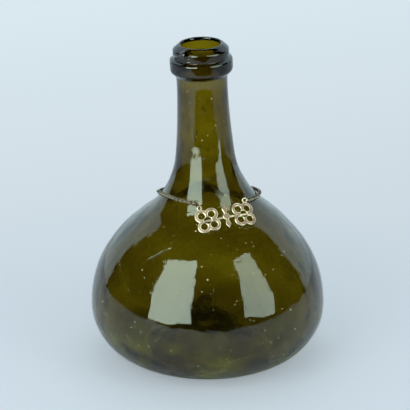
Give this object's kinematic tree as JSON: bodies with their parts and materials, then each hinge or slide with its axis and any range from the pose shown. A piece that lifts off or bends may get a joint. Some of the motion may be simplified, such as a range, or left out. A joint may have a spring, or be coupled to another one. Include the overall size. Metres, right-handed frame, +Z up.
{
  "type": "onion bottle",
  "caption": "Squat blown-glass bottle with a leaning neck, wound string rim and a plated label on a fine link chain.",
  "frame": {"origin": "middle of the foot ring, on the surface that the bottle stands on", "axes": "+Z up through the body, -Y towards the side that the label hangs on, neck leaning towards -X"},
  "size_m": [0.14, 0.14, 0.1939],
  "materials": {
    "glass": "glossy dark olive-green blown glass",
    "plated_metal": "worn plated metal, warm silver with brown tarnish in the hollows"
  },
  "bodies": {
    "bottle": {"bottle": "glass", "string_rim": "glass", "lip_band": "glass"},
    "chain": {"chain_links_01": "plated_metal", "chain_links_02": "plated_metal", "chain_links_03": "plated_metal", "chain_links_04": "plated_metal", "chain_links_05": "plated_metal", "chain_links_06": "plated_metal", "chain_links_07": "plated_metal", "chain_links_08": "plated_metal", "chain_links_09": "plated_metal", "chain_links_10": "plated_metal", "chain_links_11": "plated_metal", "chain_links_12": "plated_metal", "chain_links_13": "plated_metal", "chain_links_14": "plated_metal", "chain_links_15": "plated_metal", "chain_links_16": "plated_metal", "chain_links_17": "plated_metal", "chain_links_18": "plated_metal", "chain_links_19": "plated_metal", "chain_links_20": "plated_metal", "chain_links_21": "plated_metal", "chain_links_22": "plated_metal", "chain_links_23": "plated_metal", "chain_links_24": "plated_metal", "chain_links_25": "plated_metal", "chain_links_26": "plated_metal", "chain_links_27": "plated_metal", "chain_links_28": "plated_metal", "chain_links_29": "plated_metal", "chain_links_30": "plated_metal", "chain_links_31": "plated_metal", "chain_links_32": "plated_metal", "chain_links_33": "plated_metal", "chain_links_34": "plated_metal", "chain_links_35": "plated_metal", "chain_links_36": "plated_metal", "chain_links_37": "plated_metal"},
    "jump_rings": {"left_jump_ring": "plated_metal", "right_jump_ring": "plated_metal"},
    "label": {"left_quatrefoil": "plated_metal", "right_quatrefoil": "plated_metal", "spindle": "plated_metal", "crossbar": "plated_metal"}
  },
  "joints": [
    {"name": "collar_lift", "type": "slide", "parent": "bottle", "child": "chain", "axis": [-0.0398, 0, 0.9992], "range_m": [0, 0.12]},
    {"name": "rings_swing", "type": "hinge", "parent": "chain", "child": "jump_rings", "pos_m": [-0.00744, -0.02638, 0.10453], "axis": [-0.9495, -0.3083, 0.0585], "range_deg": [0, 30]},
    {"name": "label_swing", "type": "hinge", "parent": "jump_rings", "child": "label", "pos_m": [-0.00491, -0.02918, 0.10209], "axis": [-0.9362, -0.3488, -0.0439], "range_deg": [0, 40]}
  ]
}
